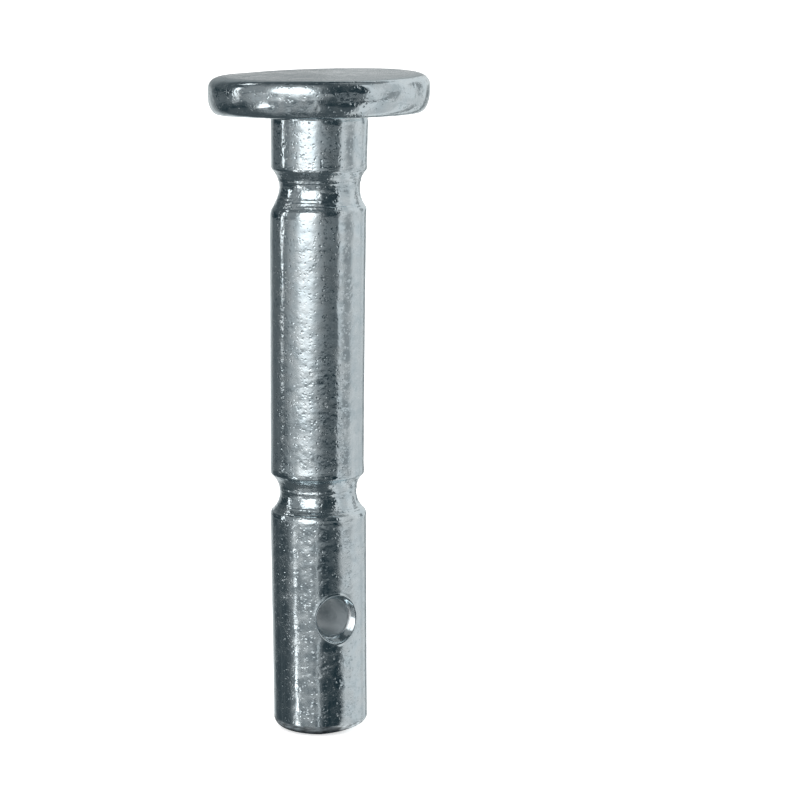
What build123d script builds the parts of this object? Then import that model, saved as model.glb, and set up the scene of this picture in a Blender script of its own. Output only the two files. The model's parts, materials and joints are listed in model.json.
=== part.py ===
from build123d import *
import os

# A shear pin, cold-headed in one piece from steel wire and zinc plated. A round shank hangs from a
# flat round head, two ring grooves set where it breaks, and a cross hole near the tip takes a
# cotter pin. The origin is the centre of the flat tip, +Z runs up the shank to the head, and the
# cross hole runs along Y. Sizes are in mm.

# Shank
shank_diameter = 6.35
shank_length = 41.9  # from the tip to the underside of the head
tip_radius = 1.0  # rounding of the tip's edge
neck_radius = 0.3  # fillet where the shank meets the head

# Head
head_diameter = 14.7
head_thickness = 2.55
head_lower_radius = 0.95  # rounding of the head's lower edge
head_upper_radius = 0.85  # rounding of the head's upper edge

# Shear grooves, each a ring with a round bottom and rounded lips
upper_groove_drop = 4.95  # from the underside of the head down to the upper groove's middle
upper_groove_depth = 0.48
lower_groove_height = 16.35  # from the tip up to the lower groove's middle
lower_groove_depth = 0.58
groove_bottom_radius = 1.85
groove_lip_radius = 0.3

# Cross hole, countersunk at both mouths to take the sharp edge off
hole_diameter = 2.5
hole_height = 8.1  # from the tip up to the hole's axis
mouth_diameter = 3.5
mouth_angle = 80

# Worked out from the sizes above
shank_radius = shank_diameter / 2
head_radius = head_diameter / 2
pin_height = shank_length + head_thickness
groove_places = (
    (shank_length - upper_groove_drop, upper_groove_depth),
    (lower_groove_height, lower_groove_depth),
)


def ring_centre(height, depth):
    """Centre of the circle that cuts a groove of this depth at this height."""
    return (shank_radius - depth + groove_bottom_radius, height)


def shank_corners(section):
    """The section's corners on the shank's side, from the tip up."""
    on_side = section.vertices().filter_by(lambda corner: abs(corner.X - shank_radius) < 1e-6)
    return on_side.sort_by(Axis.Y)


def rim_corners(section):
    """The section's corners furthest out, which are the head's lower and upper edge."""
    return section.vertices().group_by(Axis.X)[-1].sort_by(Axis.Y)


with BuildPart() as shear_pin:
    # Half of the section, from the axis out, turned round the axis
    with BuildSketch(Plane.XZ) as half_section:
        with BuildLine():
            Polyline(
                (0, 0),
                (shank_radius, 0),
                (shank_radius, shank_length),
                (head_radius, shank_length),
                (head_radius, pin_height),
                (0, pin_height),
                close=True,
            )
        make_face()
        with Locations(*[ring_centre(height, depth) for height, depth in groove_places]):
            Circle(groove_bottom_radius, mode=Mode.SUBTRACT)
        fillet(shank_corners(half_section)[1:-1], groove_lip_radius)
        fillet(shank_corners(half_section)[0], tip_radius)
        fillet(shank_corners(half_section)[-1], neck_radius)
        fillet(rim_corners(half_section)[0], head_lower_radius)
        fillet(rim_corners(half_section)[-1], head_upper_radius)
    revolve(axis=Axis.Z)

    # Cross hole, drilled through and countersunk from each side
    mouths = [
        Plane(origin=(0, side * shank_radius, hole_height), z_dir=(0, side, 0)) for side in (-1, 1)
    ]
    with Locations(*mouths):
        CounterSinkHole(hole_diameter / 2, mouth_diameter / 2, counter_sink_angle=mouth_angle)

shear_pin.part.label = "shear_pin"
os.makedirs("parts", exist_ok=True)
export_step(shear_pin.part, "parts/shear_pin.step")
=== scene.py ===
import json
import bmesh
import bpy
import numpy as np
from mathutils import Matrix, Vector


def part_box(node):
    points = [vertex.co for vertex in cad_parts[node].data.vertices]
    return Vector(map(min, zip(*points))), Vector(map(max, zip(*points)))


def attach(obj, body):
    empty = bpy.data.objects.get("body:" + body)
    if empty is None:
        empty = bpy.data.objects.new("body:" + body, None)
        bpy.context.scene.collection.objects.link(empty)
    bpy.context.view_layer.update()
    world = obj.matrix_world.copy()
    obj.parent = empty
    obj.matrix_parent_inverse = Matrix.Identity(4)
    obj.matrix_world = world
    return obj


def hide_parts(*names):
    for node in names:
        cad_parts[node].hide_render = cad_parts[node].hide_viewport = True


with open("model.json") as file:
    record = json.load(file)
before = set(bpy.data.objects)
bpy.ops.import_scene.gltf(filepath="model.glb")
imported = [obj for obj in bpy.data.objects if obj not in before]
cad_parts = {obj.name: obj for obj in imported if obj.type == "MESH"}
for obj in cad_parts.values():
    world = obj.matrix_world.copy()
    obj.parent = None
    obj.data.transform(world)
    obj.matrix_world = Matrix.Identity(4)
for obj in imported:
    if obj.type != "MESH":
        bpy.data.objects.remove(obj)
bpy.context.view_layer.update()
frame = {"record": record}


# ---- Shear pin -------------------------------------------------------------------------------
# One length of round steel wire, upset cold at one end into a flat round head, rolled with two
# grooves where it is meant to break, cross drilled near the tip and barrel plated with zinc. The
# rolls leave rings and raised lips at the grooves, and the barrel leaves fine dints all over.

# All sizes are in mm until the mesh is made
mm = 0.001
fixings = {mount["name"]: mount for mount in frame["record"]["mounts"]}
pin_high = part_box("shear_pin")[1]
pin_height = pin_high.z / mm
head_radius = pin_high.x / mm
seat_height = fixings["head_seat"]["pos_m"][2] / mm
shank_radius = fixings["middle_land"]["dims"]["r_mm"]
hole_radius = fixings["cotter_hole"]["dims"]["r_mm"]
hole_height = fixings["cotter_hole"]["pos_m"][2] / mm

# Roundings: how far each reaches across and up
tip_round = (0.95, 0.76)
neck_round = (0.3, 0.3)
head_lower_round = (0.67, 1.28)
head_upper_round = (1.04, 0.80)
# How far the head's top rises towards its middle, and its seat towards its edge
crown = 0.05
seat_cone = 0.09
# Grooves: height of the middle above the tip, depth, and the radii of the bottom and of the lips
lower_groove_height = 16.35
lower_groove_depth = 0.58
lower_bottom_radius = 1.85
upper_groove_height = seat_height - 4.95
upper_groove_depth = 0.48
upper_bottom_radius = 2.05
groove_lip_radius = 0.3


def straight(start, end, steps):
    """Points evenly spaced along the line from start to end."""
    share = np.linspace(0, 1, steps + 1)[:, None]
    return (1 - share) * np.array(start) + share * np.array(end)


def rounding(middle, radii, first, last, steps):
    """Points on the ellipse middle + (a cos t, b sin t), for t from first to last in degrees."""
    turn = np.radians(np.linspace(first, last, steps + 1))
    return np.array(middle) + np.column_stack([radii[0] * np.cos(turn), radii[1] * np.sin(turn)])


def groove(height, depth, bottom_radius, steps):
    """One groove in side view from its lower lip to its upper lip: a hollow arc of the bottom
    radius, with an arc of the lip radius at each side that touches both it and the shank. The
    lips' middles lie on a circle of both radii together round the hollow's middle."""
    lip_middle = shank_radius - groove_lip_radius
    hollow_middle = shank_radius - depth + bottom_radius
    lip_across = hollow_middle - lip_middle
    lip_up = np.sqrt((bottom_radius + groove_lip_radius) ** 2 - lip_across**2)
    turn = np.degrees(np.arctan2(lip_up, lip_across))
    lip = (groove_lip_radius, groove_lip_radius)
    hollow = (bottom_radius, bottom_radius)
    return [
        rounding((lip_middle, height - lip_up), lip, 0, turn, 7),
        rounding((hollow_middle, height), hollow, 180 + turn, 180 - turn, steps),
        rounding((lip_middle, height + lip_up), lip, -turn, 0, 7),
    ]


lower_groove = groove(lower_groove_height, lower_groove_depth, lower_bottom_radius, 92)
upper_groove = groove(upper_groove_height, upper_groove_depth, upper_bottom_radius, 76)
tip_middle = (shank_radius - tip_round[0], tip_round[1])
neck_middle = (shank_radius + neck_round[0], seat_height - neck_round[1])
lower_edge_middle = (head_radius - head_lower_round[0], seat_height + seat_cone + head_lower_round[1])
upper_edge_middle = (head_radius - head_upper_round[0], pin_height - head_upper_round[1])
stretches = [
    straight((0, 0), (tip_middle[0], 0), 6),
    rounding(tip_middle, tip_round, -90, 0, 14),
    straight((shank_radius, tip_round[1]), lower_groove[0][0], 70),
    *lower_groove,
    straight(lower_groove[-1][-1], upper_groove[0][0], 72),
    *upper_groove,
    straight(upper_groove[-1][-1], (shank_radius, neck_middle[1]), 18),
    rounding(neck_middle, neck_round, 180, 90, 6),
    straight((neck_middle[0], seat_height), (lower_edge_middle[0], seat_height + seat_cone), 14),
    rounding(lower_edge_middle, head_lower_round, -90, 0, 20),
    straight((head_radius, lower_edge_middle[1]), (head_radius, upper_edge_middle[1]), 2),
    rounding(upper_edge_middle, head_upper_round, 0, 90, 14),
    straight((upper_edge_middle[0], pin_height), (0, pin_height + crown), 24),
]
# The side view from the tip's middle, up the outside, to the head's middle: its points, how far
# along it each is, and which way it runs there
outline = np.vstack([stretches[0][:1]] + [stretch[1:] for stretch in stretches])
travel = np.concatenate([[0], np.cumsum(np.hypot(*np.diff(outline, axis=0).T))])
slope = np.gradient(outline, travel, axis=0)
slope /= np.hypot(*slope.T)[:, None]
# On the straight of the shank by the tip, travel is the height plus this
tip_travel = np.interp(tip_round[1] + 1, outline[:, 1], travel) - (tip_round[1] + 1)


def travel_at(height):
    """How far along the outline the shank is at this height."""
    shank = (outline[:, 0] < neck_middle[0]) & (outline[:, 1] < neck_middle[1])
    return np.interp(height, outline[shank, 1], travel[shank])


neck_travel = travel_at(neck_middle[1])
# The upset edge of the head, from its seat to its top, and the middle of its upper corner
edge_start = neck_travel + 3.6
edge_end = edge_start + 3.4
corner_travel = travel[-1] - upper_edge_middle[0] - 0.75

# The heading that the bent wire and the leaning head go to, and where the head's edge is steepest
lean_heading = np.radians(-22.4)
steep_heading = lean_heading - 0.5 * np.pi - 0.26
# Rolling the grooves swelled and drew the lands beside them: height, and how far the skin stands
# proud there. Under the head the wire is swelled on one side only
swells = np.array([
    (0.5, 0.008), (3.0, 0.010), (14.9, 0.068), (15.7, 0.0), (18.2, -0.020), (21.0, -0.018),
    (30.0, 0.018), (33.5, 0.044), (35.4, 0.038), (37.0, 0.0), (38.6, 0.028), (41.9, 0.030),
])
one_sided_swells = np.array([(38.8, 0.0), (41.9, 0.105)])
# The grooves' lips sag where the rolls drew them: height, and how far on the left and on the right
lip_sags = [
    (upper_groove[2][-1][1], 0.02, 0.12),
    (upper_groove[0][0][1], 0.20, 0.0),
    (lower_groove[2][-1][1], 0.10, 0.09),
    (lower_groove[0][0][1], 0.06, 0.0),
]
# Unevenness all over, and lumps on the head's edge: how high, knots round the pin, spacing of the
# knots along it, and seed
unevenness = [(0.0050, 12, 1.9, 1), (0.0030, 40, 0.55, 2)]
edge_lumps = [(0.016, 26, 0.85, 5), (0.012, 76, 0.40, 6)]
# How far the head's edge stands proud, how much it slopes where it is steepest, and how far its
# upper corner stands proud in front
edge_proud = 0.03
edge_slope = 0.045
corner_proud = 0.11
dint_depth = 0.020
# Rings left by the groove rolls: height above the groove's middle, how proud and how wide
lower_rings = [
    (1.62, 0.020, 0.22),
    (0.24, 0.032, 0.12),
    (-0.10, -0.004, 0.10),
    (-0.42, 0.005, 0.07),
    (-0.62, 0.006, 0.06),
    (-0.84, 0.011, 0.055),
    (-1.07, 0.011, 0.055),
    (-1.29, 0.014, 0.055),
    (-1.50, 0.012, 0.05),
]
upper_rings = [
    (1.46, 0.010, 0.15),
    (0.95, 0.006, 0.10),
    (0.50, 0.022, 0.085),
    (-0.10, 0.003, 0.09),
    (-0.38, 0.005, 0.05),
    (-0.62, 0.009, 0.06),
    (-0.87, 0.007, 0.05),
    (-1.12, 0.008, 0.06),
    (-1.38, 0.007, 0.07),
]
# Both sets, with the height of their groove and their first seed
ring_sets = [(lower_groove_height, lower_rings, 100), (upper_groove_height, upper_rings, 200)]
ring_wander = 0.05
ring_fade = 0.6


def weave(turn, along, around, spacing, seed):
    """A smooth uneven height from -1 to 1. A random value stands at each knot of a net wrapped
    round the pin, around knots to the turn and one each spacing mm along, and between knots the
    four nearest are blended by the weight w = t t (3 - 2 t) of the share t past a knot."""
    knots = np.random.default_rng(seed).uniform(-1, 1, (int(travel[-1] / spacing) + 3, around))
    column = turn / (2 * np.pi) % 1 * around
    row = np.clip(along / spacing, 0, len(knots) - 2)
    left = np.floor(column).astype(int)
    below = np.floor(row).astype(int)
    across = column - left
    up = row - below
    across = across * across * (3 - 2 * across)
    up = up * up * (3 - 2 * up)
    left = left % around
    right = (left + 1) % around
    low = (1 - across) * knots[below, left] + across * knots[below, right]
    high = (1 - across) * knots[below + 1, left] + across * knots[below + 1, right]
    return (1 - up) * low + up * high


def ring(turn, along, place, proud, width, seed):
    """A raised ring, proud exp(-((s - place - wander n) / width)^2) high at travel s, where n is
    uneven round the pin. It grows and dies by the fade times another unevenness."""
    one_row = np.full_like(along, 2.0)
    drift = ring_wander * weave(turn, one_row, 11, 1.0, seed)
    strength = 1 + ring_fade * weave(turn, one_row, 7, 1.0, seed + 1)
    return proud * strength * np.exp(-(((along - place - drift) / width) ** 2))


def relief(turn, along):
    """How far the plated skin stands proud of the plain turned shape, in mm. It sums the swell of
    the lands, a slow unevenness, the barrel's dints, the rings of both grooves, the lumpy edge of
    the upset head, which is steeper at the left of its front, and the head's upper corner, which
    is sharper in front. All of it dies out at the axis."""
    height = np.interp(along, travel, outline[:, 1])
    on_shank = np.clip((neck_travel + 0.4 - along) / 0.4, 0, 1)
    rightward = np.clip(np.cos(turn - lean_heading), 0, 1)
    skin = on_shank * (np.interp(height, *swells.T) + rightward * np.interp(height, *one_sided_swells.T))
    for high, around, spacing, seed in unevenness:
        skin = skin + high * weave(turn, along, around, spacing, seed)
    dints = np.clip(weave(turn, along, 34, 0.62, 3) - 0.45, 0, None)
    skin = skin - dint_depth * dints**2
    for middle, rings, seed in ring_sets:
        for number, (above, proud, width) in enumerate(rings):
            skin = skin + ring(turn, along, travel_at(middle + above), proud, width, seed + 2 * number)
    from_steepest = (turn - steep_heading + np.pi) % (2 * np.pi) - np.pi
    sloping = np.exp(-((from_steepest / 0.5) ** 2)) * np.clip(along - edge_start - 1.8, -0.7, 0.7)
    lumps = edge_proud + edge_slope * sloping
    for high, around, spacing, seed in edge_lumps:
        lumps = lumps + high * weave(turn, along, around, spacing, seed)
    on_edge = np.clip((along - edge_start) / 0.5, 0, 1) * np.clip((edge_end - along) / 0.5, 0, 1)
    skin = skin + on_edge * lumps
    # The die filled its upper corner better at the front
    sharper = np.exp(-(((along - corner_travel) / 0.36) ** 2))
    skin = skin + corner_proud * sharper * np.clip(np.sin(lean_heading - turn), 0, 1)
    to_axis = np.minimum(along, travel[-1] - along)
    return skin * np.clip(to_axis / 1.5, 0, 1)


def surface(turn, along):
    """Points of the skin at a turn round the axis and a travel along the outline: the outline's
    radius and height, moved by the relief along its normal, and turned about the axis. Where a
    groove's lip sags, the radius is read that much further along."""
    sag = np.zeros_like(along * turn)
    rightward = (1 + np.cos(turn - lean_heading)) / 2
    for lip, left, right in lip_sags:
        near = np.exp(-(((along - travel_at(lip)) / 0.5) ** 2))
        sag = sag + near * (left * (1 - rightward) + right * rightward)
    radius = np.interp(along + sag, travel, outline[:, 0])
    height = np.interp(along, travel, outline[:, 1])
    proud = relief(turn, along)
    radius = radius + proud * np.interp(along, travel, slope[:, 1])
    height = height - proud * np.interp(along, travel, slope[:, 0])
    return np.stack([radius * np.cos(turn), radius * np.sin(turn), height], axis=-1)


def quads(rows, columns, around):
    """The four-sided faces at these rows and columns of a closed net with so many points round:
    each takes its own point, the next one round, and the same two in the row above."""
    beyond = (columns + 1) % around
    return np.column_stack([
        rows * around + columns,
        rows * around + beyond,
        (rows + 1) * around + beyond,
        (rows + 1) * around + columns,
    ])


# The skin is a net of columns round the pin and rows along it, with a window cut round each mouth
# of the cross hole
steps_round = 180
window_columns = 20
window_half_height = 2.2
turn_net, along_net = np.meshgrid(np.arange(steps_round) * 2 * np.pi / steps_round, travel)
window_low = int(np.argmin(np.abs(travel - tip_travel - hole_height + window_half_height)))
window_high = int(np.argmin(np.abs(travel - tip_travel - hole_height - window_half_height)))
rows, columns = np.meshgrid(np.arange(len(travel) - 1), np.arange(steps_round), indexing="ij")
from_front = (columns - 3 * steps_round // 4 + steps_round // 2) % steps_round - steps_round // 2
from_back = (columns - steps_round // 4 + steps_round // 2) % steps_round - steps_round // 2
beside = (rows >= window_low) & (rows < window_high)
in_front = (from_front >= -window_columns) & (from_front < window_columns)
in_back = (from_back >= -window_columns) & (from_back < window_columns)
kept = ~(beside & (in_front | in_back))
points = [surface(turn_net, along_net).reshape(-1, 3)]
faces = [quads(rows[kept], columns[kept], steps_round)]

# The window's own edge, once round, as columns to the right of the mouth and rows of the net
side = np.arange(-window_columns, window_columns)
climb = np.arange(window_low, window_high)
upright = np.full(len(climb), window_columns)
edge_columns = np.concatenate([side, upright, -side, -upright])
low_side = np.full(len(side), window_low)
high_side = np.full(len(side), window_high)
edge_rows = np.concatenate([low_side, climb, high_side, climb[::-1] + 1])

# The mouth is a drilled cone broken by hand, so it is a little less tall than wide, with a rounded
# and slightly raised edge
mouth_radius = 1.75
mouth_half_angle = np.radians(43)
cone_depth = shank_radius - (mouth_radius - hole_radius) / np.tan(mouth_half_angle)
less_tall = 0.06
rim_width = 0.055
rim_raised = 0.022
# The bore runs off the middle of its mouth, to the front's left and up, and is narrower across
bore_left = 0.12
bore_up = 0.07
bore_narrow = 0.10


def mouth_distance(bearing):
    """How far from the hole's axis the cone of the mouth cuts the round shank, at each bearing b
    round that axis. At depth y the cone is r + (y - y0) tan(a) wide, or r where that is less, and
    the shank is at y = sqrt(R^2 - (w cos b)^2). Each pass puts one into the other."""
    wide = np.full_like(bearing, mouth_radius)
    for _ in range(30):
        depth = np.sqrt(shank_radius**2 - (wide * np.cos(bearing)) ** 2)
        wide = hole_radius + np.clip(depth - cone_depth, 0, None) * np.tan(mouth_half_angle)
    return wide


def bore_width(depth, bearing):
    """The hole's radius at each depth from the axis: r plus a soft corner
    c ln(1 + exp((y - y0) / c)) tan(a) into the cone, plus the drill's faint spiral."""
    softness = 0.014
    cone = softness * np.logaddexp(0, (depth - cone_depth) / softness) * np.tan(mouth_half_angle)
    spiral = 0.002 * np.sin(2 * np.pi * depth / 0.21 + bearing)
    return hole_radius + cone + spiral


def mouth(facing):
    """The skin inside one window and the wall of the hole to its middle, as rings of points. From
    the window's edge the rings shrink on the skin towards the mouth, turn in over its rounded
    edge by the curve (1-t)^2 P + 2 t (1-t) Q + t^2 S, and follow the bore to y = 0. The cone's
    width is squeezed by 1 - k sin(b)^2 at bearing b. facing is -1 for the front and 1 for the
    back, and x counts to the right from the front for both."""
    edge_across = shank_radius * (edge_columns * 2 * np.pi / steps_round)
    edge_height = travel[edge_rows] - tip_travel
    bearing = np.arctan2(edge_height - hole_height, edge_across)
    full = mouth_distance(bearing)
    wide = full * (1 - less_tall * np.sin(bearing) ** 2)
    squeeze = (wide - hole_radius) / (full - hole_radius)
    rim = rim_width + 0.02 * np.sin(3 * bearing + 1) + 0.012 * np.sin(7 * bearing)

    def on_skin(distance):
        """Across and up the unrolled skin, this far from the hole's axis: R asin(d cos b / R) and
        the hole's height plus d sin b."""
        across = shank_radius * np.arcsin(distance * np.cos(bearing) / shank_radius)
        return across, hole_height + distance * np.sin(bearing)

    def laid(across, height, lift=0.0):
        """Points of the skin there, moved out from the axis by the lift."""
        turn = across / shank_radius
        turn = -np.pi / 2 + turn if facing < 0 else np.pi / 2 - turn
        outward = np.stack([np.cos(turn), np.sin(turn), 0 * turn], axis=-1)
        return surface(turn, height + tip_travel) + lift * outward

    def in_bore(depth):
        """Points of the hole's wall at this depth: its squeezed radius times (cos b, sin b), moved
        and narrowed by the share of the way from the mouth in to the bore."""
        radius = hole_radius + (bore_width(depth, bearing) - hole_radius) * squeeze
        inside = 1 - np.clip((radius - hole_radius) / (wide - hole_radius), 0, 1)
        x = radius * np.cos(bearing) - inside * (bore_left + bore_narrow * np.cos(bearing))
        z = hole_height + radius * np.sin(bearing) + inside * bore_up
        return np.stack([x, facing * depth, z], axis=-1)

    near_across, near_height = on_skin(wide + rim)
    rings = []
    for share in 1 - (1 - np.linspace(0, 1, 9)) ** 1.4:
        across = (1 - share) * edge_across + share * near_across
        height = (1 - share) * edge_height + share * near_height
        lift = rim_raised * np.exp(-((1 - share) / 0.12) ** 2) * (share > 0)
        rings.append(laid(across, height, lift))
    start = rings[-1]
    brink = laid(*on_skin(wide))
    first_depth = np.abs(brink[:, 1]) - rim
    inside = in_bore(first_depth)
    for t in np.linspace(0, 1, 6)[1:]:
        rings.append((1 - t) ** 2 * start + 2 * t * (1 - t) * brink + t**2 * inside)
    for share in np.linspace(0, 1, 15)[1:] ** 1.3:
        rings.append(in_bore((1 - share) * first_depth))
    return np.array(rings)


for facing in (-1, 1):
    mouth_points = mouth(facing)
    count, around = mouth_points.shape[:2]
    first = sum(len(block) for block in points)
    ring_rows, ring_columns = np.meshgrid(np.arange(count - 1), np.arange(around), indexing="ij")
    faces.append(first + quads(ring_rows.ravel(), ring_columns.ravel(), around))
    points.append(mouth_points.reshape(-1, 3))

# The wire isn't quite straight: height, and how far the axis has run off to one side there
wander = np.array([
    (0.0, 0.0), (14.8, -0.098), (16.2, -0.10), (18.2, -0.16), (22.0, -0.14), (30.0, -0.075),
    (35.0, -0.025), (36.0, 0.03), (37.0, 0.09), (38.5, 0.05), (41.9, 0.04), (44.5, 0.075),
])
# The upset head leans, more at its top than at its seat: height and degrees
lean = np.array([(seat_height - 1.0, 0.0), (seat_height, 0.74), (pin_height, 1.16)])
# Nor are its two edges level all round: degrees round from the lean's heading, and how much the
# upper and the lower edge rise
edge_rise = np.array([
    (0, 0.0, -0.08), (45, 0.062, 0.0), (90, 0.03, 0.0), (135, -0.02, 0.0), (180, 0.088, -0.039),
    (225, 0.06, 0.056), (270, 0.0, -0.009), (300, -0.08, 0.02), (325, -0.08, -0.03), (360, 0.0, -0.08),
])
# The wire was cropped a little aslant at the tip: how far up at its side, and how high that reaches
crop_rise = 0.25
crop_reach = 1.6


def bent(points):
    """The points as the real pin stands. With d the distance to the side that it leans to, each
    moves that way by the wander at its height, and up by d tan(lean), by the rise of the head's
    nearer edge, and near the tip by the crop's rise times d / R. None goes below the tip."""
    to_side = points[:, 0] * np.cos(lean_heading) + points[:, 1] * np.sin(lean_heading)
    to_back = points[:, 1] * np.cos(lean_heading) - points[:, 0] * np.sin(lean_heading)
    height = points[:, 2]
    bearing = np.degrees(np.arctan2(to_back, to_side)) % 360
    up_head = np.clip((height - seat_height) / (pin_height - seat_height), 0, 1)
    out_head = np.clip((np.hypot(to_side, to_back) - neck_middle[0]) / (head_radius - neck_middle[0]), 0, 1)
    cropped = np.clip(to_side / shank_radius, 0, 1) * np.clip(1 - height / crop_reach, 0, 1) ** 2
    z = height + to_side * np.tan(np.radians(np.interp(height, *lean.T)))
    z = z + out_head * up_head**2 * np.interp(bearing, edge_rise[:, 0], edge_rise[:, 1])
    z = z + out_head * (1 - up_head) ** 2 * np.interp(bearing, edge_rise[:, 0], edge_rise[:, 2])
    z = np.maximum(z + crop_rise * cropped, 0)
    run_off = np.interp(height, *wander.T)
    x = points[:, 0] + run_off * np.cos(lean_heading)
    y = points[:, 1] + run_off * np.sin(lean_heading)
    return np.column_stack([x, y, z])


mesh = bpy.data.meshes.new("shear_pin_plated")
mesh.from_pydata((bent(np.vstack(points)) * mm).tolist(), [], np.vstack(faces).tolist())
pin = bpy.data.objects.new("shear_pin_plated", mesh)
bpy.context.scene.collection.objects.link(pin)
work = bmesh.new()
work.from_mesh(mesh)
bmesh.ops.remove_doubles(work, verts=work.verts, dist=0.0001 * mm)
bmesh.ops.recalc_face_normals(work, faces=work.faces)
work.to_mesh(mesh)
work.free()
mesh.shade_smooth()
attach(pin, "root")
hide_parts("shear_pin")


def add(nodes, kind, sockets=None, **settings):
    """Adds a node, sets its settings, and gives each named socket its value, or joins it to the
    output given for it."""
    node = nodes.new(kind)
    for name, value in settings.items():
        setattr(node, name, value)
    for name, value in (sockets or {}).items():
        if isinstance(value, bpy.types.NodeSocket):
            node.id_data.links.new(value, node.inputs[name])
        else:
            node.inputs[name].default_value = value
    return node


def reckon(nodes, operation, *values):
    """The result of one step of arithmetic on outputs and numbers."""
    return add(nodes, "ShaderNodeMath", dict(enumerate(values)), operation=operation).outputs[0]


def reckon_vector(nodes, operation, *values):
    """The result of one step of arithmetic on vectors."""
    step = add(nodes, "ShaderNodeVectorMath", dict(enumerate(values)), operation=operation)
    return next(output for output in step.outputs if output.enabled)


def spread(nodes, value, low, high, to_low=0.0, to_high=1.0, curve="LINEAR"):
    """The value carried from low..high to to_low..to_high, and held at those ends beyond them."""
    sockets = {"Value": value, "From Min": low, "From Max": high, "To Min": to_low, "To Max": to_high}
    return add(nodes, "ShaderNodeMapRange", sockets, interpolation_type=curve).outputs["Result"]


def noise(nodes, place, scale, detail, roughness=0.5):
    """Random soft clouds, scale of them to the metre, with detail finer layers over them."""
    sockets = {"Vector": place, "Scale": scale, "Detail": detail, "Roughness": roughness}
    return add(nodes, "ShaderNodeTexNoise", sockets)


def mix(nodes, share, first, second):
    """A colour between two: first (1 - share) + second share."""
    sockets = {"Factor": share, "A": first, "B": second}
    return add(nodes, "ShaderNodeMix", sockets, data_type="RGBA").outputs["Result"]


zinc = bpy.data.materials.new("zinc_plate")
zinc.use_nodes = True
nodes = zinc.node_tree.nodes
nodes.clear()
place = add(nodes, "ShaderNodeTexCoord").outputs["Object"]
place_height = add(nodes, "ShaderNodeSeparateXYZ", {"Vector": place}).outputs["Z"]

# Where the barrel struck more or less: in patches of some mm, and by the share of the pin's height
struck_levels = [
    (0.0, 1.05), (0.34, 1.05), (0.42, 1.2), (0.64, 1.1), (0.80, 1.1), (0.85, 1.5), (0.93, 1.5), (0.96, 1.3),
]
patches = spread(nodes, noise(nodes, place, 420.0, 2.0).outputs["Fac"], 0.35, 0.65, 0.55, 1.25)
up_pin = spread(nodes, place_height, 0.0, pin_height * mm)
struck_ramp = add(nodes, "ShaderNodeValToRGB", {"Fac": up_pin})
stops = struck_ramp.color_ramp.elements
for share, level in struck_levels[1:-1]:
    stops.new(share)
for stop, (share, level) in zip(stops, struck_levels):
    stop.position = share
    stop.color = (level, level, level, 1)
struck = reckon(nodes, "MULTIPLY", struck_ramp.outputs["Color"], patches)

# Fine grain and wider dents
grain = noise(nodes, place, 3300.0, 2.5, 0.55).outputs["Fac"]
dents = noise(nodes, place, 1500.0, 1.0).outputs["Fac"]
# Small round pits of three sizes: how many to the metre, the share of them that stays flat, and the
# radius as a share of their spacing. They are ragged, as each point reads them a little aside
pit_sizes = [(5300.0, 0.50, 0.52), (3000.0, 0.55, 0.44), (1700.0, 0.70, 0.40)]
raggedness = 0.16 * mm
aside = reckon_vector(nodes, "SUBTRACT", noise(nodes, place, 5200.0, 1.0).outputs["Color"], (0.5, 0.5, 0.5))
ragged = reckon_vector(nodes, "ADD", place, reckon_vector(nodes, "MULTIPLY", aside, (raggedness,) * 3))
pits = []
for scale, flat, radius in pit_sizes:
    cells = add(nodes, "ShaderNodeTexVoronoi", {"Vector": ragged, "Scale": scale, "Randomness": 1.0})
    deep = spread(nodes, cells.outputs["Color"], flat, 1.0)
    hollow = spread(nodes, cells.outputs["Distance"], 0.0, radius, -1.0, 0.0, curve="SMOOTHSTEP")
    pits.append(reckon(nodes, "MULTIPLY", hollow, deep))
# Marks of the rolls, drawn out round the pin, in the grooves only
drawn_out = reckon_vector(nodes, "MULTIPLY", place, (1500.0, 1500.0, 4300.0))
roll_marks = noise(nodes, drawn_out, 1.0, 2.0).outputs["Fac"]
near_grooves = []
for middle in (lower_groove_height, upper_groove_height):
    off_middle = reckon(nodes, "ABSOLUTE", reckon(nodes, "SUBTRACT", place_height, middle * mm))
    near_grooves.append(spread(nodes, off_middle, 1.2 * mm, 1.9 * mm, 1.0, 0.0))
rolled = reckon(nodes, "MAXIMUM", *near_grooves)
# All of these as bumps: how high in mm, the pattern and how strong
bumps = [
    (0.006, grain, struck),
    (0.017, dents, patches),
    (0.018, pits[0], struck),
    (0.014, pits[1], struck),
    (0.018, pits[2], struck),
    (0.042, roll_marks, rolled),
]
normal = None
for high, pattern, strength in bumps:
    bump = add(nodes, "ShaderNodeBump", {"Distance": high * mm, "Height": pattern, "Strength": strength})
    if normal:
        zinc.node_tree.links.new(normal, bump.inputs["Normal"])
    normal = bump.outputs["Normal"]

# The drill left the cross hole rougher and its plating dull; its colour is paler there, painted light that
# brightens the shaded bore
off_bore = reckon_vector(nodes, "ADD", place, (bore_left * mm, 0.0, -(hole_height + bore_up) * mm))
to_axis = reckon_vector(nodes, "LENGTH", reckon_vector(nodes, "MULTIPLY", off_bore, (1.0, 0.0, 1.0)))
bored = spread(nodes, to_axis, (hole_radius + 0.03) * mm, (hole_radius - 0.01) * mm)
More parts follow.
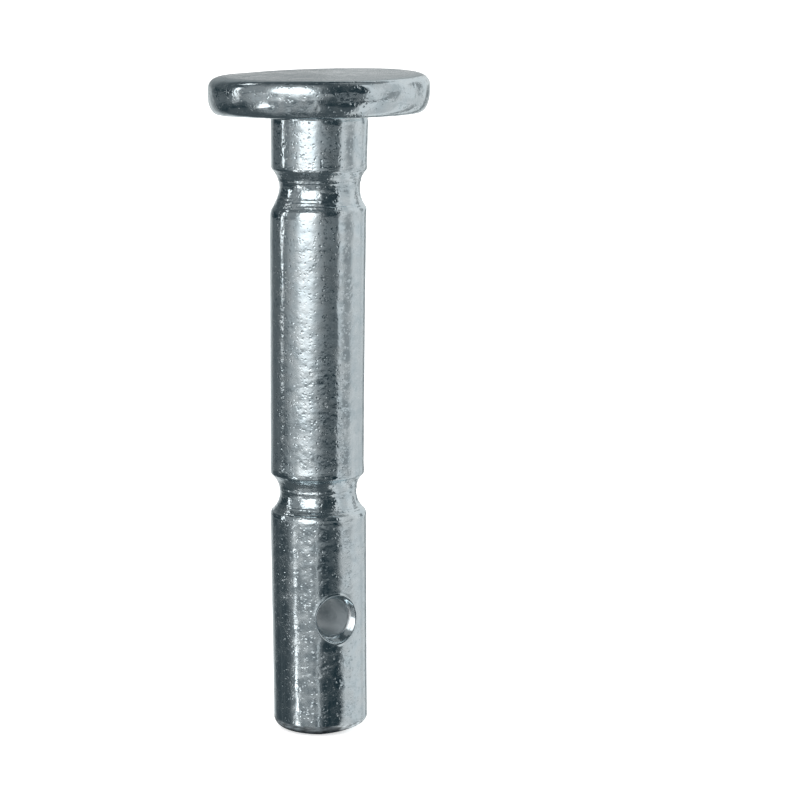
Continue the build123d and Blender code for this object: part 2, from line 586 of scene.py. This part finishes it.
# Elsewhere it is cloudy, lighter and duller here and there, and dull in the pits
cloud = spread(nodes, noise(nodes, place, 1150.0, 3.0).outputs["Fac"], 0.36, 0.64)
cloudy = mix(nodes, cloud, (0.64, 0.735, 0.78, 1), (0.76, 0.835, 0.865, 1))
# Paler in the bore: painted light
colour = mix(nodes, bored, cloudy, (0.86, 0.90, 0.92, 1))
dull = spread(nodes, cloud, 0.0, 1.0, 0.05, 0.20)
dull_in_pits = reckon(nodes, "MULTIPLY_ADD", pits[1], -0.34, dull)
rough = add(nodes, "ShaderNodeMix", {"Factor": bored, "A": dull_in_pits, "B": 0.4}).outputs["Result"]
metal = add(nodes, "ShaderNodeBsdfPrincipled", {
    "Base Color": colour,
    "Metallic": 1.0,
    "Roughness": rough,
    "Specular Tint": (0.96, 0.985, 0.985, 1),
    "Normal": normal,
})
add(nodes, "ShaderNodeOutputMaterial", {"Surface": metal.outputs["BSDF"]})
mesh.materials.append(zinc)


# ---- Table -----------------------------------------------------------------------------------
# A plain white table top that the pin stands on. It isn't part of the object. The metal mirrors
# only the part close round its tip, a glow of painted shade, dark on the left, and of painted
# light, pale on the right, and the studio beyond.

table_radius = 4000 * mm
table_mesh = bpy.data.meshes.new("table_top")
rim_turn = np.radians(np.arange(64) * 360 / 64)
rim_points = np.column_stack([table_radius * np.cos(rim_turn), table_radius * np.sin(rim_turn), 0 * rim_turn])
table_mesh.from_pydata(rim_points.tolist(), [], [list(range(64))])
table = bpy.data.objects.new("table_top", table_mesh)
bpy.context.scene.collection.objects.link(table)
white = bpy.data.materials.new("white_table")
white.use_nodes = True
nodes = white.node_tree.nodes
nodes.clear()
table_place = add(nodes, "ShaderNodeTexCoord").outputs["Object"]
to_tip = reckon_vector(nodes, "LENGTH", table_place)
right_heading = (float(np.cos(lean_heading)), float(np.sin(lean_heading)), 0.0)
rightward = reckon_vector(nodes, "DOT_PRODUCT", table_place, right_heading)

# What the metal mirrors there is painted reflection: painted shade under the tip, a ring of
# painted shade round it that is darker on its right, and pale painted light at the far right
flag_side_painted_shade = spread(nodes, rightward, -0.4 * mm, 0.6 * mm)
off_tip = spread(nodes, to_tip, 2.8 * mm, 3.3 * mm)
far_right = spread(nodes, rightward, 1.3 * mm, 2.2 * mm)
ring_painted_shade = mix(nodes, flag_side_painted_shade, (0.21, 0.215, 0.22, 1), (0.10, 0.105, 0.11, 1))
tip_painted_shade = mix(nodes, off_tip, (0.028, 0.033, 0.036, 1), ring_painted_shade)
painted_reflection_colour = mix(nodes, far_right, tip_painted_shade, (0.66, 0.66, 0.66, 1))
uneven = spread(nodes, noise(nodes, table_place, 1500.0, 2.0).outputs["Fac"], 0.35, 0.65, 0.4, 1.5)
# The painted reflection glows, a little unevenly, and only glossy rays see it
near = add(nodes, "ShaderNodeEmission", {"Color": painted_reflection_colour, "Strength": uneven}).outputs[0]
clear = add(nodes, "ShaderNodeBsdfTransparent").outputs[0]
is_near = spread(nodes, to_tip, 5.0 * mm, 4.2 * mm)
in_mirror = add(nodes, "ShaderNodeMixShader", {0: is_near, 1: clear, 2: near}).outputs[0]

# What is seen: matt white with a glow of its own, so that it comes out white and keeps the shadow
rays = add(nodes, "ShaderNodeLightPath").outputs
matt = add(nodes, "ShaderNodeBsdfDiffuse", {"Color": (1, 1, 1, 1)}).outputs[0]
own_light = reckon(nodes, "MULTIPLY", rays["Is Camera Ray"], 0.6)
glow = add(nodes, "ShaderNodeEmission", {"Strength": own_light}).outputs[0]
seen = add(nodes, "ShaderNodeAddShader", {0: matt, 1: glow}).outputs[0]
table_top = add(nodes, "ShaderNodeMixShader", {0: rays["Is Glossy Ray"], 1: seen, 2: in_mirror}).outputs[0]
add(nodes, "ShaderNodeOutputMaterial", {"Surface": table_top})
table_mesh.materials.append(white)


# ---- Light -----------------------------------------------------------------------------------
# A plain white room. What the metal mirrors is a studio: a strip box and a soft box to the left,
# a dark flag to the right of the camera, and a pale backdrop from there round to the back.

# The camera stands square to the side that the pin leans to
view_azimuth = lean_heading
world = bpy.data.worlds.new("studio")
bpy.context.scene.world = world
world.use_nodes = True
nodes = world.node_tree.nodes
nodes.clear()
outward = add(nodes, "ShaderNodeTexCoord").outputs["Generated"]
unturn = {"Vector": outward, "Angle": -view_azimuth}
direction = add(nodes, "ShaderNodeVectorRotate", unturn, rotation_type="Z_AXIS").outputs["Vector"]
x, y, z = add(nodes, "ShaderNodeSeparateXYZ", {"Vector": direction}).outputs
# Degrees round from the camera to the right as it sees them, and degrees above the horizon
bearing = reckon(nodes, "ARCTAN2", x, reckon(nodes, "MULTIPLY", y, -1.0))
azimuth = reckon(nodes, "MULTIPLY", bearing, 180 / np.pi)
elevation = reckon(nodes, "MULTIPLY", reckon(nodes, "ARCSINE", z), 180 / np.pi)


def rise(value, middle, soft):
    """0 below the middle and 1 above it, by a smooth step that is soft degrees wide."""
    return spread(nodes, value, middle - soft / 2, middle + soft / 2, curve="SMOOTHSTEP")


def fall(value, middle, soft):
    """1 below the middle and 0 above it, by the same smooth step."""
    return reckon(nodes, "SUBTRACT", 1.0, rise(value, middle, soft))


def leaning(lean):
    """The azimuth with upright lines leaning by lean for each degree that the elevation is above
    -8, as far up as 5: a - lean min(e + 8, 13)."""
    if not lean:
        return azimuth
    climbed = reckon(nodes, "MINIMUM", reckon(nodes, "ADD", elevation, 8.0), 13.0)
    return reckon(nodes, "SUBTRACT", azimuth, reckon(nodes, "MULTIPLY", climbed, lean))


def paint(behind, level, left, right, bottom, top, soft, soft_ends, lean_left=0.0, lean_right=0.0):
    """A soft-edged panel of one level of light, between two azimuths and two elevations in
    degrees, in front of what is behind it: behind + mask (level - behind)."""
    past_left = rise(leaning(lean_left), left, soft)
    wide = reckon(nodes, "MULTIPLY", past_left, fall(leaning(lean_right), right, soft))
    tall = reckon(nodes, "MULTIPLY", rise(elevation, bottom, soft_ends), fall(elevation, top, soft_ends))
    mask = reckon(nodes, "MULTIPLY", wide, tall)
    change = reckon(nodes, "SUBTRACT", level, behind)
    return reckon(nodes, "ADD", behind, reckon(nodes, "MULTIPLY", mask, change))


# The dark of the room, with a haze just under the horizon, lighter low down and high on the left
room_dark = 0.032
haze = reckon(nodes, "MULTIPLY", rise(elevation, -10.5, 9), fall(elevation, -4.4, 1.6))
low_down = fall(elevation, -27, 10)
high_left = reckon(nodes, "MULTIPLY", rise(elevation, 9, 10), fall(azimuth, -30, 30))
mirrored = room_dark
for mask, level in ((haze, 0.155), (low_down, 0.05), (high_left, 0.05)):
    mirrored = reckon(nodes, "ADD", mirrored, reckon(nodes, "MULTIPLY", mask, level))

# Each panel: level, left, right, bottom, top, how soft its sides and its ends are, and for some
# how much the left and the right side lean
panels = [
    # Far left, and over the camera
    (0.13, -150, -104, -11.5, -4.4, 8, 1.6),
    (0.065, -150, -60, -19, -11.5, 8, 2),
    (0.06, -66, 50, 42, 85, 10, 10),
    # Glow round the soft box
    (0.25, -74, -1, -47, -8, 30, 8),
    (0.25, -70, 0, -4, 60, 40, 6),
    (0.50, -76, 8, -10.5, -2.5, 40, 5),
    (0.27, -90, -50, 0, 38, 20, 8),
    (0.36, -50, 4, -8, 44, 14, 8),
    # Soft box
    (1.0, -45, -14, -10.2, 20, 18, 9),
    (1.5, -48, -7, -6.8, 10, 22, 7),
    (1.9, -51, -6, 3, 25, 12, 6),
    (1.5, -49, -11, 22, 38, 14, 5),
    (0.25, -50, 0, 42, 60, 14, 6),
    # Strip box, the lamp above it, and a small lamp low down
    (1.8, -98.5, -92.5, -7.4, 22, 3.5, 4),
    (2.0, -114, -100, 38, 48, 4, 5),
    (2.0, -60.3, -61.5, -28, -14.2, 2.5, 1.6, 0.5, -0.5),
    # The far edge of the table under the flag, and a stand to the left of it
    (0.34, -8, 46, -4.75, -4.15, 16, 0.3),
    (0.62, -6.5, -2.5, -40, -12.5, 3.5, 4),
    # Backdrop on the right, with the shade that the flag throws on its edge
    (0.74, 50, 171, -11, 50, 7, 12, 0.33),
    (0.76, 49, 171, -64, -17.5, 6, 8),
    (0.76, 46.8, 171, -17.5, -11, 4, 8, -2.0),
    (0.015, 36, 53, -17.5, -12.2, 5, 1.5),
    # Backdrop behind on the right, darker higher up
    (0.69, 168, 240, -45, 6, 8, 12),
    (0.43, 172, 240, 6, 40, 8, 12),
    # Darker stripes down the backdrop, and the shade above and below it
    (0.56, 66, 98, -64, -17, 9, 4),
    (0.56, 66, 98, -3, 48, 9, 6),
    (0.30, 63.5, 88, -12.0, -2.0, 13, 1.0, 1.8, 1.2),
    (0.24, 58, 135, 54, 82, 16, 8),
    (0.60, 120, 133, -18, -4, 6, 3),
    (0.25, 120, 133, -4.4, 22, 6, 3),
    (0.25, 118, 131, -50, -17, 6, 3),
    (0.25, 148, 160, -60, -1, 8, 4),
    (0.10, 138, 178, -75, -44, 10, 8),
    # Backdrop behind on the left, darker higher up
    (0.69, -240, -150, -45, 5, 34, 12),
    (0.28, -240, -150, 5, 40, 34, 12),
]
for panel in panels:
    mirrored = paint(mirrored, *panel)

# Odds and ends about the room, a little lighter than the rest
clutter = spread(nodes, noise(nodes, direction, 13.0, 3.0).outputs["Fac"], 0.48, 0.72, 0.0, 0.06)
mirrored = reckon(nodes, "ADD", mirrored, clutter)
# Low down on the left more of them stand together, both lighter and darker
heap = spread(nodes, noise(nodes, direction, 19.0, 2.0).outputs["Fac"], 0.38, 0.62, -0.17, 0.24)
heap_wide = reckon(nodes, "MULTIPLY", rise(azimuth, -80, 14), fall(azimuth, -4, 8))
heap_mask = reckon(nodes, "MULTIPLY", heap_wide, fall(elevation, -17, 6))
mirrored = reckon(nodes, "ADD", mirrored, reckon(nodes, "MULTIPLY", heap, heap_mask))
mirrored = reckon(nodes, "MAXIMUM", mirrored, 0.03)

# What is dark in the studio is bluish
less_red = reckon(nodes, "SUBTRACT", reckon(nodes, "MULTIPLY", mirrored, 1.016), 0.016)
red = reckon(nodes, "MAXIMUM", less_red, 0.0)
blue = reckon(nodes, "ADD", reckon(nodes, "MULTIPLY", mirrored, 0.992), 0.008)
bluish = add(nodes, "ShaderNodeCombineColor", {"Red": red, "Green": mirrored, "Blue": blue}).outputs["Color"]
studio = add(nodes, "ShaderNodeBackground", {"Color": bluish, "Strength": 1.0}).outputs[0]
room = add(nodes, "ShaderNodeBackground", {"Color": (1, 1, 1, 1), "Strength": 1.0}).outputs[0]
world_rays = add(nodes, "ShaderNodeLightPath").outputs
from_metal = reckon(nodes, "MAXIMUM", world_rays["Is Glossy Ray"], world_rays["Is Transmission Ray"])
surroundings = add(nodes, "ShaderNodeMixShader", {0: from_metal, 1: room, 2: studio}).outputs[0]
add(nodes, "ShaderNodeOutputWorld", {"Surface": surroundings})


# ---- Camera ----------------------------------------------------------------------------------
# Close to the pin and a little above its head, so that the head's top just shows.

camera_distance = 206.0 * mm
camera_height = 57.06 * mm
degrees_down = 9.503
degrees_right = 1.512
camera = bpy.data.objects.new("camera", bpy.data.cameras.new("camera"))
bpy.context.scene.collection.objects.link(camera)
camera.location = (
    camera_distance * np.sin(view_azimuth),
    -camera_distance * np.cos(view_azimuth),
    camera_height,
)
camera.rotation_euler = (np.radians(90 - degrees_down), 0, view_azimuth - np.radians(degrees_right))
camera.data.lens = 139.4
camera.data.sensor_width = 36.0
camera.data.clip_start = 0.01
camera.data.clip_end = 100.0
bpy.context.scene.camera = camera
bpy.context.scene.view_settings.view_transform = "Standard"
